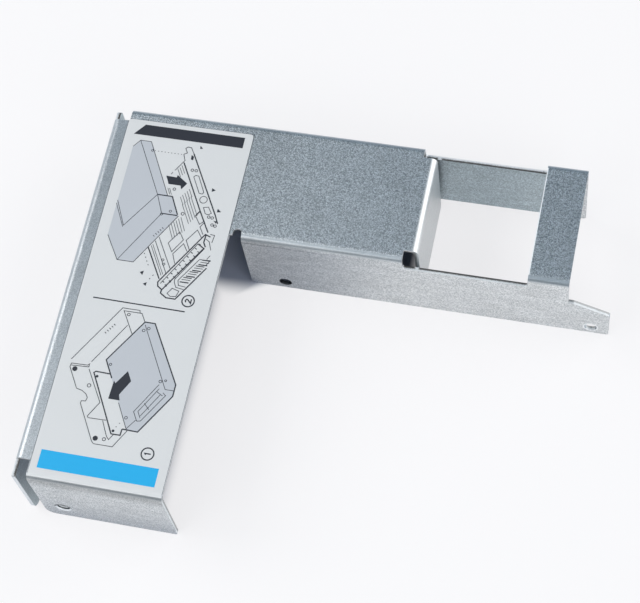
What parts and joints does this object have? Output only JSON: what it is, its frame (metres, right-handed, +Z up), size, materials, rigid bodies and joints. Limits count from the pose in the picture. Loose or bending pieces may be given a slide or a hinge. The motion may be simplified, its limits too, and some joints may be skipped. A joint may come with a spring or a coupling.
{
  "type": "drive bay adapter bracket",
  "caption": "Folded zinc-coated sheet-steel L bracket with side flanges, a window and a tongue. It carries a small drive in a wider drive bay. A printed label lies on one arm.",
  "frame": {"origin": "under the middle of the part's length and width, in the plane of the flanges' feet", "axes": "+X along the drive arm from the side flange to the tongue, +Y from the end flange to the back flange, +Z up through the plate"},
  "size_m": [0.1296, 0.1008, 0.0242],
  "materials": {
    "zinc_steel": "matt zinc coat, fine speckle",
    "label_paper": "satin paper",
    "ink_black": "printed ink",
    "ink_blue": "printed ink",
    "ink_grey": "printed ink"
  },
  "bodies": {
    "root": {"bracket": "zinc_steel", "label": "label_paper", "label_print_black": "ink_black", "label_print_blue": "ink_blue", "label_print_grey": "ink_grey"}
  },
  "joints": []
}
